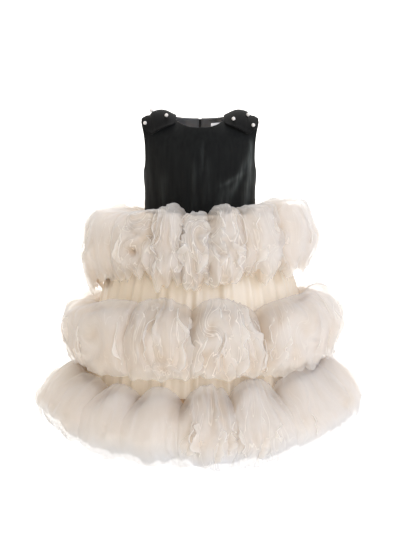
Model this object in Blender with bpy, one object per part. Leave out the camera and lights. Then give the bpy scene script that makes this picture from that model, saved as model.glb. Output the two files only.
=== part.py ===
"""A child's sleeveless party dress: velvet bodice, satin underskirt, three puffed tulle ruffles.

The dress is filled out as when worn and is hollow. Metres, +Z up, the front faces -Y.
The origin lies midway between the two shoulder seams, where the wearer carries the dress.
"""

import math
from collections import namedtuple

import bmesh
import bpy
import numpy as np
from mathutils import Matrix

MM = 0.001

# Driving sizes of the dress, in millimetres
WALL = 1.8
SEAM_GAP = 0.3
SHOULDER_RISE = 2.0
SHOULDER_TIP_DROP = -14.0
SHOULDER_TIP_OUT = 114.0
NECK_HALF_WIDTH = 54.0
FRONT_NECK_DROP = -24.0
BACK_NECK_DROP = -8.5
SHOULDER_ROUND_BELOW = -62.0
WAIST = -190.0
SKIRT_HEM = -600.0

# Closed zip down the middle of the back
ZIP_HALF_WIDTH = 2.3
SLIDER_DROP = -18.0

# Torso sections: height, half width, depth in front, depth behind
Section = namedtuple("Section", "z half_width front back")
TORSO = (
    Section(-190.0, 108.0, 80.0, 66.0),
    Section(-150.0, 107.5, 84.0, 70.0),
    Section(-108.0, 109.0, 86.0, 75.0),
    Section(-70.0, 118.0, 82.0, 76.0),
    Section(-35.0, 124.0, 73.0, 71.0),
    Section(0.0, 128.0, 64.0, 64.0),
    Section(20.0, 130.0, 60.0, 60.0),
)

# Outer edge of a panel: side seam up to the underarm, then the armhole up to the shoulder tip
Edge = namedtuple("Edge", "z out")
PANEL_EDGE = (
    Edge(-190.0, 108.0),
    Edge(-150.0, 107.5),
    Edge(-108.0, 109.0),
    Edge(-96.0, 106.5),
    Edge(-70.0, 105.5),
    Edge(-40.0, 108.0),
    Edge(-14.0, 114.0),
)

# Soft creases pressed into the velvet: middle, half width, depth of the crease
Crease = namedtuple("Crease", "x z half_x half_z depth")
BODICE_CREASES = (
    Crease(-19.0, -138.0, 7.0, 52.0, 1.6),
    Crease(7.0, -78.0, 6.0, 40.0, 1.3),
    Crease(86.0, -88.0, 8.0, 42.0, 2.6),
    Crease(70.0, -140.0, 7.0, 40.0, 2.0),
    Crease(-84.0, -130.0, 8.0, 44.0, 1.8),
    Crease(38.0, -160.0, 6.0, 32.0, 1.4),
)

# Underskirt sections: height, half width, depth in front, depth behind
UNDERSKIRT = (
    Section(-190.3, 108.0, 80.0, 66.0),
    Section(-235.0, 146.0, 124.0, 112.0),
    Section(-300.0, 176.0, 156.0, 148.0),
    Section(-380.0, 195.0, 176.0, 170.0),
    Section(-490.0, 216.0, 196.0, 190.0),
    Section(-600.0, 236.0, 214.0, 208.0),
)
UNDERSKIRT_FOLDS = 16
UNDERSKIRT_FOLD_DEPTH = 5.0
AROUND_UNDERSKIRT = 64

# A ruffle's section from its seam over the puff to its hem: shares of the reach and of the height,
# share of the gather waves, share of the valleys between puffs
Station = namedtuple("Station", "out up swing valley")
BOXY_PUFF = (
    Station(0.00, 0.80, 0.0, 1.0),
    Station(0.14, 0.88, 0.1, 1.0),
    Station(0.36, 0.95, 0.2, 1.0),
    Station(0.61, 1.00, 0.3, 1.0),
    Station(0.84, 0.95, 0.5, 0.9),
    Station(1.00, 0.70, 0.8, 0.7),
    Station(1.00, 0.38, 1.0, 0.5),
    Station(0.95, 0.14, 1.0, 0.45),
    Station(0.86, 0.00, 1.0, 0.4),
)
ROUND_PUFF = (
    Station(0.00, 0.73, 0.0, 1.0),
    Station(0.13, 0.88, 0.1, 1.0),
    Station(0.34, 0.97, 0.2, 1.0),
    Station(0.60, 0.97, 0.3, 1.0),
    Station(0.84, 0.86, 0.5, 0.9),
    Station(1.00, 0.62, 0.8, 0.7),
    Station(1.00, 0.36, 1.0, 0.5),
    Station(0.93, 0.13, 1.0, 0.45),
    Station(0.82, 0.00, 1.0, 0.4),
)
SLOPED_PUFF = (
    Station(0.00, 0.62, 0.0, 1.0),
    Station(0.11, 0.86, 0.1, 1.0),
    Station(0.26, 0.98, 0.2, 1.0),
    Station(0.48, 0.92, 0.3, 1.0),
    Station(0.72, 0.74, 0.5, 0.9),
    Station(0.92, 0.53, 0.8, 0.7),
    Station(1.00, 0.34, 1.0, 0.5),
    Station(0.97, 0.13, 1.0, 0.45),
    Station(0.89, 0.00, 1.0, 0.4),
)

# One puff of a ruffle: bearing from the front towards +X, then its reach, lift of its crown and
# lift of its hem against its tier
Puff = namedtuple("Puff", "bearing reach crown_lift hem_lift")
Tier = namedtuple(
    "Tier",
    "name seam top hem half_width front back valley_share valley_drop waves around section puffs",
)
TIERS = (
    Tier("tulle_tier_1", -198.0, -172.0, -326.0, 224.0, 210.0, 202.0, 0.16, 24.0, 24, 96, BOXY_PUFF, (
        Puff(-165.0, 0.98, 0.0, 0.0), Puff(-134.0, 1.00, 4.0, -4.0), Puff(-100.0, 1.01, -4.0, -6.0),
        Puff(-64.0, 1.00, -7.0, 2.0), Puff(-34.0, 0.98, -6.0, 30.0), Puff(-16.0, 0.97, 4.0, 16.0),
        Puff(-3.0, 0.95, -14.0, 4.0), Puff(13.0, 0.98, 3.0, 12.0), Puff(32.0, 0.98, -2.0, 28.0),
        Puff(64.0, 1.00, 8.0, 26.0), Puff(100.0, 1.00, 2.0, 16.0), Puff(132.0, 0.98, 4.0, -2.0),
        Puff(161.0, 0.98, 0.0, -2.0))),
    Tier("tulle_tier_2", -374.0, -340.0, -469.0, 270.0, 248.0, 242.0, 0.16, 24.0, 26, 104, ROUND_PUFF, (
        Puff(-168.0, 1.00, 0.0, 0.0), Puff(-142.0, 0.99, 4.0, -2.0), Puff(-113.0, 1.00, -6.0, 2.0),
        Puff(-80.0, 0.99, -16.0, 5.0), Puff(-45.0, 0.99, -6.0, -2.0), Puff(-17.0, 0.98, 2.0, -2.0),
        Puff(9.0, 1.00, 2.0, -2.0), Puff(47.0, 0.99, -3.0, 3.0), Puff(82.0, 1.04, 14.0, 11.0),
        Puff(112.0, 1.00, 0.0, 2.0), Puff(140.0, 0.99, 4.0, 0.0), Puff(166.0, 0.99, -2.0, -2.0))),
    Tier("tulle_tier_3", -518.0, -479.0, -604.0, 314.0, 288.0, 282.0, 0.20, 32.0, 32, 128, SLOPED_PUFF, (
        Puff(-163.0, 1.00, 0.0, 0.0), Puff(-142.0, 0.98, 4.0, 4.0), Puff(-120.0, 1.00, -2.0, 8.0),
        Puff(-98.0, 1.00, 2.0, 14.0), Puff(-76.0, 1.00, 0.0, 20.0), Puff(-54.0, 0.99, -4.0, 6.0),
        Puff(-36.0, 0.97, -6.0, -5.0), Puff(-18.0, 0.99, -4.0, -12.0), Puff(3.0, 1.00, 0.0, -15.0),
        Puff(22.0, 0.98, 3.0, -10.0), Puff(46.0, 0.99, 0.0, 4.0), Puff(84.0, 1.02, 10.0, 21.0),
        Puff(112.0, 1.00, 2.0, 10.0), Puff(138.0, 0.99, 4.0, 4.0), Puff(162.0, 0.99, 0.0, -4.0))),
)
DOME_POWER = 0.55
WAVE_SWING = 5.5
WAVE_DRIFT, DRIFTS = 2.0, 3
HEM_SCALLOP = 10.0
RUFFLE_CLEARANCE = 1.1

# Facing inside the back neck and the label on it: their places in the back panel's grid of points
FACING_ROWS, FACING_COLUMNS = 4, 6
FACING_THICKNESS = 1.0
LABEL_ROWS, LABEL_COLUMNS = (10.2, 11.0), (1.0, 3.0)
LABEL_THICKNESS = 0.6

# A shoulder bow: folded velvet wing laid over the shoulder, from the neck side to the armhole side
BOW_NECK_SIDE = 46.0
BOW_ARM_SIDE = 112.0
BOW_LIFT = 8.0
BOW_CLEARANCE = 0.3
BOW_FRONT_REACH = 60.0
BOW_BACK_REACH = 48.0
BOW_CROWN_SPAN = 0.85
BOW_CROWN_FALL = 0.8
BOW_SPREAD_AT_NECK = 0.55
BOW_LEAN_OUT = 0.25
BOW_PLEATS = 5.0
BOW_PLEAT_DEPTH = 1.6

# Pearls on each bow: distance out from the middle, degrees forward of the shoulder seam
Pearl = namedtuple("Pearl", "name side out forward")
PEARL_DIAMETER = 7.0
PEARLS = (
    Pearl("pearl_left_top", -1, 90.0, 8.0),
    Pearl("pearl_left_inner", -1, 61.0, 32.0),
    Pearl("pearl_left_outer", -1, 103.0, 40.0),
    Pearl("pearl_right_top", 1, 89.0, 24.0),
    Pearl("pearl_right_inner", 1, 61.0, 40.0),
    Pearl("pearl_right_outer", 1, 99.0, 48.0),
)


def clear_scene():
    """Empties the scene, so that only the dress is in it."""
    for item in list(bpy.data.objects):
        bpy.data.objects.remove(item, do_unlink=True)


def principled(name, color, roughness, metallic=0.0):
    """A plain material with the colour, roughness and metallic value of the real finish."""
    material = bpy.data.materials.new(name)
    material.use_nodes = True
    shader = material.node_tree.nodes["Principled BSDF"]
    shader.inputs["Base Color"].default_value = (*color, 1.0)
    shader.inputs["Roughness"].default_value = roughness
    shader.inputs["Metallic"].default_value = metallic
    return material


def add_mesh(name, points_mm, faces, material):
    """A smooth-shaded mesh object from points in millimetres."""
    mesh = bpy.data.meshes.new(name)
    mesh.from_pydata((np.asarray(points_mm) * MM).tolist(), [], faces)
    mesh.validate()
    mesh.materials.append(material)
    mesh.shade_smooth()
    piece = bpy.data.objects.new(name, mesh)
    bpy.context.scene.collection.objects.link(piece)
    return piece


def face_outward(piece):
    """Turns every face of a closed mesh to the outside."""
    shape = bmesh.new()
    shape.from_mesh(piece.data)
    bmesh.ops.recalc_face_normals(shape, faces=shape.faces)
    shape.to_mesh(piece.data)
    shape.free()
    return piece


def grid_normals(grid, closed):
    """Unit normals of a grid of points, rows by columns; closed says that the columns join up."""
    down = np.gradient(grid, axis=0)
    if closed:
        around = np.roll(grid, -1, axis=1) - np.roll(grid, 1, axis=1)
    else:
        around = np.gradient(grid, axis=1)
    normals = np.cross(down, around)
    return normals / np.linalg.norm(normals, axis=2, keepdims=True)


def cloth_solid(name, outer, inner, closed, material):
    """A thin closed wall between two grids of the same size, an open panel or a tube."""
    rows, columns = outer.shape[:2]
    index = np.arange(rows * columns).reshape(rows, columns)
    back = index + rows * columns
    faces = []
    spans = columns if closed else columns - 1
    for i in range(rows - 1):
        for j in range(spans):
            k = (j + 1) % columns
            faces.append((index[i, j], index[i + 1, j], index[i + 1, k], index[i, k]))
            faces.append((back[i, j], back[i, k], back[i + 1, k], back[i + 1, j]))
    for j in range(spans):
        k = (j + 1) % columns
        faces.append((index[0, j], index[0, k], back[0, k], back[0, j]))
        faces.append((index[-1, j], back[-1, j], back[-1, k], index[-1, k]))
    if not closed:
        for i in range(rows - 1):
            faces.append((index[i, 0], back[i, 0], back[i + 1, 0], index[i + 1, 0]))
            faces.append((index[i, -1], index[i + 1, -1], back[i + 1, -1], back[i, -1]))
    points = np.concatenate([outer.reshape(-1, 3), inner.reshape(-1, 3)])
    faces = [tuple(int(corner) for corner in face) for face in faces]
    return face_outward(add_mesh(name, points, faces, material))


def row_value(rows, z, column):
    """A column of a table of rows, read at height z along straight lines."""
    heights = [row.z for row in rows]
    values = [getattr(row, column) for row in rows]
    order = np.argsort(heights)
    return np.interp(z, np.array(heights)[order], np.array(values)[order])


def shoulder_height(x):
    """The top of the torso at distance x from the middle: the shoulder slope, carried on to the neck."""
    slope = (SHOULDER_TIP_DROP - SHOULDER_RISE) / (SHOULDER_TIP_OUT - NECK_HALF_WIDTH)
    return SHOULDER_RISE + slope * (np.abs(x) - NECK_HALF_WIDTH)


def torso_depth(x, z, side):
    """Distance of the torso's surface in front of or behind the middle plane at (x, z)."""
    half_width = row_value(TORSO, z, "half_width")
    depth = row_value(TORSO, z, side)
    across = np.sqrt(np.clip(1.0 - (x / half_width) ** 2, 0.0, 1.0))
    rise = (z - SHOULDER_ROUND_BELOW) / (shoulder_height(x) - SHOULDER_ROUND_BELOW)
    closing = np.sqrt(np.clip(1.0 - np.clip(rise, 0.0, 1.0) ** 2, 0.0, 1.0))
    return depth * across * closing


def crease_depth(x, z):
    """How far the creases press the velvet in at (x, z)."""
    total = np.zeros(np.broadcast(x, z).shape)
    for crease in BODICE_CREASES:
        across = (x - crease.x) / crease.half_x
        along = (z - crease.z) / crease.half_z
        total = total + crease.depth * np.exp(-across ** 2 - along ** 4)
    return total


def neckline(x, drop):
    """Height of the top edge at x: a scooped neckline, then the shoulder seam."""
    share = np.clip(np.abs(x) / NECK_HALF_WIDTH, 0.0, 1.0)
    scoop = drop + (SHOULDER_RISE - drop) * share ** 2.6
    return np.where(np.abs(x) <= NECK_HALF_WIDTH, scoop, shoulder_height(x))


def panel_grid(shares, rows, side, drop, start=0.0):
    """Outer points of a bodice panel: columns run from the waist up to the neckline or shoulder."""
    rise = np.linspace(0.0, 1.0, rows)[:, None]
    shares = np.asarray(shares)[None, :]
    edge_height = WAIST + (SHOULDER_TIP_DROP - WAIST) * rise
    edge_out = row_value(PANEL_EDGE, edge_height, "out")
    x = np.sign(shares) * (start + (edge_out - start) * np.abs(shares))
    top_x = np.sign(shares) * (start + (SHOULDER_TIP_OUT - start) * np.abs(shares))
    z = WAIST + (neckline(top_x, drop) - WAIST) * rise
    depth = torso_depth(x, z, side)
    if side == "front":
        depth = depth - crease_depth(x, z) * np.clip(depth / 20.0, 0.0, 1.0)
    depth = depth + SEAM_GAP / 2
    return np.stack([x, -depth if side == "front" else depth, z], axis=2)


def inward_normals(grid, toward, closed=False):
    """Unit normals of a grid, all on the side that faces the point toward, inside the dress."""
    normals = grid_normals(grid, closed)
    to_inside = np.asarray(toward) - grid
    to_inside[..., 2] = 0.0
    return normals * np.sign(np.sum(to_inside * normals))


def bodice_panel(name, shares, side, drop, material, start=0.0):
    """One velvet panel, a closed wall clear of its neighbours' seams. Gives its points and way in."""
    outer = panel_grid(shares, 13, side, drop, start)
    inward = inward_normals(outer, (0.0, 0.0, 0.0))
    inner = outer + inward * WALL
    sign = -1.0 if side == "front" else 1.0
    inner[..., 1] = sign * np.maximum(sign * inner[..., 1], SEAM_GAP / 2)
    if start:
        turn = np.sign(shares[-1])
        inner[..., 0] = turn * np.maximum(turn * inner[..., 0], start)
    cloth_solid(name, outer, inner, False, material)
    return outer, inward


def make_bodice(velvet):
    """Front, back left and back right, each cut in one piece from waist to shoulder."""
    turns = np.radians(np.linspace(-90.0, 90.0, 19))
    bodice_panel("bodice_front", np.sin(turns), "front", FRONT_NECK_DROP, velvet)
    half = np.sin(np.radians(np.linspace(0.0, 90.0, 11)))
    half[0] = 1e-6
    start = ZIP_HALF_WIDTH + SEAM_GAP
    right = bodice_panel("bodice_back_right", half, "back", BACK_NECK_DROP, velvet, start)
    left = bodice_panel("bodice_back_left", -half, "back", BACK_NECK_DROP, velvet, start)
    return right, left


def back_strip(x, z, depth_in):
    """Points of a strip that follows the back at depth_in from its outer face."""
    x, z = np.broadcast_arrays(x, z)
    face = np.stack([x, torso_depth(x, z, "back") + SEAM_GAP / 2, z], axis=2)
    return face + inward_normals(face, (0.0, 0.0, 0.0)) * depth_in


def between(grid, rows, columns):
    """Points of a grid read at fractional rows and columns."""
    low_row = np.minimum(rows.astype(int), grid.shape[0] - 2)
    low_column = np.minimum(columns.astype(int), grid.shape[1] - 2)
    row_share = (rows - low_row)[:, None, None]
    column_share = (columns - low_column)[None, :, None]
    first = grid[low_row][:, low_column] * (1 - row_share) + grid[low_row + 1][:, low_column] * row_share
    second = grid[low_row][:, low_column + 1] * (1 - row_share)
    second = second + grid[low_row + 1][:, low_column + 1] * row_share
    return first * (1 - column_share) + second * column_share


def make_neck_facing(right, left, satin, tape):
    """Satin facing inside the back neck, one piece each side of the zip, and the bare label on it."""
    outside = WALL + SEAM_GAP
    for name, (points, inward) in (("back_facing_right", right), ("back_facing_left", left)):
        face = points[-FACING_ROWS:, :FACING_COLUMNS]
        way_in = inward[-FACING_ROWS:, :FACING_COLUMNS]
        outer = face + way_in * outside
        inner = face + way_in * (outside + FACING_THICKNESS)
        cloth_solid(name, outer, inner, False, satin)
    points, inward = right
    label_rows, label_columns = np.linspace(*LABEL_ROWS, 3), np.linspace(*LABEL_COLUMNS, 3)
    face = between(points, label_rows, label_columns)
    way_in = between(inward, label_rows, label_columns)
    inside = outside + FACING_THICKNESS + 3 * SEAM_GAP
    outer = face + way_in * inside
    inner = face + way_in * (inside + LABEL_THICKNESS)
    cloth_solid("neck_label", outer, inner, False, tape)


def boxed(name, cells, x_half, material):
    """A block of cells in the plane of height and depth, carried from -x_half to x_half."""
    points, faces = [], []
    for low_y, high_y, low_z, high_z in cells:
        first = len(points)
        for x in (-x_half, x_half):
            points += [(x, low_y, low_z), (x, high_y, low_z), (x, high_y, high_z), (x, low_y, high_z)]
        corners = ((0, 1, 2, 3), (4, 7, 6, 5), (0, 4, 5, 1), (1, 5, 6, 2), (2, 6, 7, 3), (3, 7, 4, 0))
        faces += [tuple(first + corner for corner in face) for face in corners]
    return face_outward(add_mesh(name, points, faces, material))


def join_to(piece, other):
    """Unites a helper block with a piece and keeps the helper out of the model."""
    other.hide_render = True
    other.display_type = "WIRE"
    union = piece.modifiers.new("joined_" + other.name, "BOOLEAN")
    union.operation = "UNION"
    union.solver = "EXACT"
    union.object = other


def plate_with_window(name, x_lines, z_lines, depth, material):
    """A flat tab of three columns and three rows of cells, whose middle cell is the window."""
    shape = bmesh.new()
    near = depth[0] * MM
    rows = [[shape.verts.new((x * MM, near, z * MM)) for x in row] for row, z in zip(x_lines, z_lines)]
    for i in range(3):
        for j in range(3):
            if (i, j) != (1, 1):
                shape.faces.new((rows[i][j], rows[i][j + 1], rows[i + 1][j + 1], rows[i + 1][j]))
    grown = bmesh.ops.extrude_face_region(shape, geom=shape.faces[:])
    moved = [item for item in grown["geom"] if isinstance(item, bmesh.types.BMVert)]
    bmesh.ops.translate(shape, verts=moved, vec=(0.0, (depth[1] - depth[0]) * MM, 0.0))
    bmesh.ops.recalc_face_normals(shape, faces=shape.faces)
    mesh = bpy.data.meshes.new(name)
    shape.to_mesh(mesh)
    shape.free()
    mesh.materials.append(material)
    piece = bpy.data.objects.new(name, mesh)
    bpy.context.scene.collection.objects.link(piece)
    return piece


def make_zip(tape, metal):
    """The closed chain between the back edges, its slider with the bridge, and the pull tab."""
    x = np.linspace(-ZIP_HALF_WIDTH, ZIP_HALF_WIDTH, 3)[None, :]
    z = np.linspace(WAIST, BACK_NECK_DROP - 1.5, 14)[:, None]
    cloth_solid("zip_chain", back_strip(x, z, 0.0), back_strip(x, z, WALL), False, tape)

    step = 2.0
    here = torso_depth(0.0, SLIDER_DROP, "back") + SEAM_GAP / 2
    below = torso_depth(0.0, SLIDER_DROP - step, "back") + SEAM_GAP / 2
    lean = math.atan2(below - here, step)
    seat = Matrix.Translation((0.0, here * MM, SLIDER_DROP * MM)) @ Matrix.Rotation(lean, 4, "X")

    plate_low, plate_high, plate_half_long, plate_half_wide = 0.3, 2.3, 4.5, 3.0
    bridge_half_wide, bridge_half_long, post, bridge_low, bridge_high = 0.7, 3.7, 1.4, 4.2, 5.4
    slider = boxed(
        "zip_slider", [(plate_low, plate_high, -plate_half_long, plate_half_long)], plate_half_wide, metal
    )
    sunk = plate_high - 0.5
    for place in (-1.0, 1.0):
        ends = sorted((place * bridge_half_long, place * (bridge_half_long - post)))
        bridge_post = boxed("bridge_post", [(sunk, bridge_high, *ends)], bridge_half_wide, metal)
        join_to(slider, seated(bridge_post, seat))
    top = boxed("bridge_top", [(bridge_low, bridge_high, -bridge_half_long, bridge_half_long)],
                bridge_half_wide, metal)
    join_to(slider, seated(top, seat))
    seated(slider, seat)

    hinge_out, tab_half_thick, tab_long = 3.25, 0.6, 21.0
    window_half, tab_top_half, tab_tip_half, window_end = 1.2, 2.3, 2.9, 5.5
    z_lines = (tab_half_thick, -tab_half_thick, -window_end, -tab_long)
    x_lines = [(-half, -window_half, window_half, half) for half in (tab_top_half,) * 3 + (tab_tip_half,)]
    pull = plate_with_window("zip_pull", x_lines, z_lines, (-tab_half_thick, tab_half_thick), metal)
    axis = bpy.data.objects.new("zip_pull_axis", None)
    bpy.context.scene.collection.objects.link(axis)
    axis.matrix_world = seat @ Matrix.Translation((0.0, hinge_out * MM, 0.0))
    pull.parent = axis


def seated(piece, seat):
    """Places a piece by the slider's seat on the back."""
    piece.matrix_world = seat
    return piece


def ellipse_ring(turn, half_width, front, back):
    """Points round the body at bearing turn: 0 is the front, positive goes towards +X."""
    depth = np.where(np.cos(turn) >= 0.0, front, back)
    return half_width * np.sin(turn), -depth * np.cos(turn)


def underskirt_grid(turn, z):
    """The satin underskirt's outer face, with soft vertical folds that deepen to the hem."""
    x, y = ellipse_ring(
        turn,
        row_value(UNDERSKIRT, z, "half_width"),
        row_value(UNDERSKIRT, z, "front"),
        row_value(UNDERSKIRT, z, "back"),
    )
    fall = (UNDERSKIRT[0].z - z) / (UNDERSKIRT[0].z - SKIRT_HEM)
    swing = UNDERSKIRT_FOLD_DEPTH * np.clip(2.0 * fall, 0.0, 1.0)
    radius = np.hypot(x, y)
    scale = 1.0 + swing * np.cos(UNDERSKIRT_FOLDS * turn) / radius
    return np.stack([x * scale, y * scale, z + 0.0 * x], axis=2)


def make_underskirt(satin):
    """The champagne satin underskirt that carries the ruffles."""
    turn = np.linspace(0.0, 2 * np.pi, AROUND_UNDERSKIRT, endpoint=False)[None, :]
    z = np.array([row.z for row in UNDERSKIRT])[:, None]
    outer = underskirt_grid(turn, z)
    inner = outer + inward_normals(outer, (0.0, 0.0, 0.0), closed=True) * WALL
    inner[0, :, 2] = outer[0, :, 2]
    cloth_solid("underskirt", outer, inner, True, satin)


def puff_dome(turn, puffs, valley_share, valley_drop):
    """Dome of each bearing's own puff (1 on its crown, 0 in a valley), its reach, crown and hem lift."""
    bearings = np.radians([puff.bearing for puff in puffs])
    offset = (turn[:, None] - bearings[None, :] + np.pi) % (2 * np.pi) - np.pi
    gaps = (np.roll(bearings, -1) - bearings) % (2 * np.pi)
    ahead, behind = gaps / 2, np.roll(gaps, 1) / 2
    share = np.where(offset >= 0.0, offset / ahead[None, :], -offset / behind[None, :])
    own = np.argmin(share, axis=1)
    picked = np.clip(share[np.arange(len(turn)), own], 0.0, 1.0)
    dome = np.cos(picked * np.pi / 2) ** DOME_POWER
    reach = np.array([puff.reach for puff in puffs])
    lift = np.array([puff.crown_lift for puff in puffs])
    valley = reach.min() - valley_share
    crown_lift = lift[own] * dome - valley_drop * (1.0 - dome)
    hem_lift = np.interp(turn, bearings, [puff.hem_lift for puff in puffs], period=2 * np.pi)
    return dome, valley + (reach[own] - valley) * dome, crown_lift, hem_lift


def tier_grid(tier):
    """A ruffle's middle face: puffs round the skirt, gather waves that grow to the hem."""
    turn = np.linspace(0.0, 2 * np.pi, tier.around, endpoint=False)
    dome, reach, crown_lift, hem_lift = puff_dome(turn, tier.puffs, tier.valley_share, tier.valley_drop)
    seam = underskirt_grid(turn[None, :], np.full((1, tier.around), tier.seam))[0]
    clear = 1.0 + (WALL / 2 + RUFFLE_CLEARANCE) / np.hypot(seam[:, 0], seam[:, 1])
    seam_x, seam_y = seam[:, 0] * clear, seam[:, 1] * clear
    full_x, full_y = ellipse_ring(turn, tier.half_width, tier.front, tier.back)
    rows = []
    for station in tier.section:
        out = station.out * (1.0 - (1.0 - reach) * station.valley)
        x = seam_x + (full_x - seam_x) * out
        y = seam_y + (full_y - seam_y) * out
        drifting = tier.waves * turn + WAVE_DRIFT * np.sin(DRIFTS * turn)
        wave = WAVE_SWING * station.swing * np.cos(drifting)
        scale = 1.0 + wave / np.hypot(x, y)
        hem = tier.hem + hem_lift
        scallop = HEM_SCALLOP * (0.5 - dome) * (1.0 - station.up) ** 2
        height = hem + (tier.top - hem) * station.up + scallop + crown_lift * station.up ** 3
        level = height if station.out else np.full_like(x, tier.seam)
        rows.append(np.stack([x * scale, y * scale, level + 0.0 * x], axis=1))
    return np.array(rows)


def make_tiers(tulle):
    """The three gathered ruffles, each one wall from its seam over the puffs to its hem."""
    for tier in TIERS:
        middle = tier_grid(tier)
        normals = grid_normals(middle, True)
        half = normals * WALL / 2
        cloth_solid(tier.name, middle + half, middle - half, True, tulle)


def shoulder_point(x, forward):
    """Point of the torso over the shoulder and the way out of it; forward is in radians from the seam."""
    crown = shoulder_height(x)
    z = SHOULDER_ROUND_BELOW + (crown - SHOULDER_ROUND_BELOW) * np.cos(forward)
    half_width = row_value(TORSO, z, "half_width")
    across = np.sqrt(np.clip(1.0 - (x / half_width) ** 2, 0.0, 1.0))
    front = row_value(TORSO, z, "front")
    back = row_value(TORSO, z, "back")
    y = -np.where(forward >= 0.0, front, back) * across * np.sin(forward)
    out = np.stack([np.sign(x) * BOW_LEAN_OUT + 0.0 * y, -np.sin(forward), np.cos(forward)], axis=-1)
    out = out / np.linalg.norm(out, axis=-1, keepdims=True)
    return np.stack([x + 0.0 * y, y, z], axis=-1), out


def bow_face(x, forward, side):
    """Outer face of a bow at x and the angle forward of the shoulder seam, and the way out of it."""
    point, out = shoulder_point(x, forward)
    share = np.clip((np.abs(x) - BOW_NECK_SIDE) / (BOW_ARM_SIDE - BOW_NECK_SIDE), 0.0, 1.0)
    crown = np.sin(np.pi * BOW_CROWN_SPAN * share) * np.cos(BOW_CROWN_FALL * forward) ** 2
    pleat = BOW_PLEAT_DEPTH * np.cos(BOW_PLEATS * forward + side) * share
    lift = WALL + BOW_CLEARANCE + np.maximum(BOW_LIFT * crown + pleat, 0.0)
    return point + out * lift[..., None], out


def make_bows(velvet):
    """A folded velvet wing over each shoulder, narrow at the neck side and spread at the armhole."""
    for name, side in (("shoulder_bow_left", -1.0), ("shoulder_bow_right", 1.0)):
        share = np.linspace(0.0, 1.0, 9)[None, :]
        x = side * (BOW_NECK_SIDE + (BOW_ARM_SIDE - BOW_NECK_SIDE) * share)
        spread = BOW_SPREAD_AT_NECK + (1.0 - BOW_SPREAD_AT_NECK) * np.sqrt(share)
        along = np.linspace(-1.0, 1.0, 13)[:, None]
        reach = np.where(along >= 0.0, BOW_FRONT_REACH, BOW_BACK_REACH)
        forward = np.radians(reach) * along * spread
        x, forward = np.broadcast_arrays(x, forward)
        outer, out = bow_face(x, forward, side)
        cloth_solid(name, outer, outer - out * WALL, False, velvet)


def make_pearls(pearl_finish):
    """Three pearls sewn on each bow, resting on its outer face."""
    radius = PEARL_DIAMETER / 2
    for pearl in PEARLS:
        x = np.array([[pearl.side * pearl.out]])
        forward = np.radians(np.array([[pearl.forward]]))
        face, out = bow_face(x, forward, float(pearl.side))
        centre = (face + out * (radius + 2 * SEAM_GAP))[0, 0] * MM
        shape = bmesh.new()
        bmesh.ops.create_uvsphere(shape, u_segments=10, v_segments=6, radius=radius * MM)
        mesh = bpy.data.meshes.new(pearl.name)
        shape.to_mesh(mesh)
        shape.free()
        mesh.materials.append(pearl_finish)
        mesh.shade_smooth()
        piece = bpy.data.objects.new(pearl.name, mesh)
        piece.location = centre.tolist()
        bpy.context.scene.collection.objects.link(piece)


def main():
    clear_scene()
    velvet = principled("black_velvet", (0.008, 0.008, 0.008), 0.85)
    lining_satin = principled("charcoal_satin", (0.05, 0.05, 0.052), 0.4)
    champagne_satin = principled("champagne_satin", (0.64, 0.47, 0.33), 0.35)
    tulle = principled("ivory_tulle", (0.72, 0.64, 0.55), 0.8)
    tape = principled("white_woven_tape", (0.85, 0.85, 0.84), 0.7)
    zip_tape = principled("black_zip_tape", (0.012, 0.012, 0.012), 0.7)
    zip_metal = principled("black_zip_metal", (0.03, 0.03, 0.03), 0.35, 0.8)
    pearl = principled("pearl_bead", (0.82, 0.79, 0.74), 0.2)
    right, left = make_bodice(velvet)
    make_neck_facing(right, left, lining_satin, tape)
    make_zip(zip_tape, zip_metal)
    make_underskirt(champagne_satin)
    make_tiers(tulle)
    make_bows(velvet)
    make_pearls(pearl)


main()
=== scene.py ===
"""A child's party dress: black velvet bodice, champagne satin underskirt, three puffed tulle ruffles.

Lengths in the tables are millimetres; meshes and the frame are metres. The front faces -Y.
"""

import math

import bpy
import numpy as np
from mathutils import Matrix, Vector


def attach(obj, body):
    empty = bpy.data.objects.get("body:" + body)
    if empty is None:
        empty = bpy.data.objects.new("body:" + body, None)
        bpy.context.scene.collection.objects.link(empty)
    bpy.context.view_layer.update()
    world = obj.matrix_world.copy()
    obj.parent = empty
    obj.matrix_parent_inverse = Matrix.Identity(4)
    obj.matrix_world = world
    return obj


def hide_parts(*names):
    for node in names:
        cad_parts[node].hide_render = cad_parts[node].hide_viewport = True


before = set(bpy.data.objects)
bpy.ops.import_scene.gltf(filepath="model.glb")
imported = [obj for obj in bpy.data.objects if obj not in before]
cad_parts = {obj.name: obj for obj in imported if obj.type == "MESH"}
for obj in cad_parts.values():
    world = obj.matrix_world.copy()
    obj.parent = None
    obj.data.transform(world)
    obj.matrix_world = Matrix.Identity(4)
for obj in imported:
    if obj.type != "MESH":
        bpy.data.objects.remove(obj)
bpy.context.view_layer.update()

MM = 0.001

# Studio: a pale floor far below the hem, swept up behind. A cool light stands at the front right, a
# plain one in front, a dim one behind, and one shines on the sweep. The camera looks at the front
# from a little above.
CAMERA_ELEVATION = 7.0
CAMERA_DISTANCE = 2.80
CAMERA_LENS = 96.5
AIM = Vector((0.0, 0.0, -0.297))
FLOOR_LEVEL = -0.95


def linear(code):
    """Linear colour of an sRGB hex code."""
    value = np.array([int(code[i:i + 2], 16) / 255.0 for i in (1, 3, 5)])
    flat = np.where(value <= 0.04045, value / 12.92, ((value + 0.055) / 1.055) ** 2.4)
    return (*flat.tolist(), 1.0)


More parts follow.
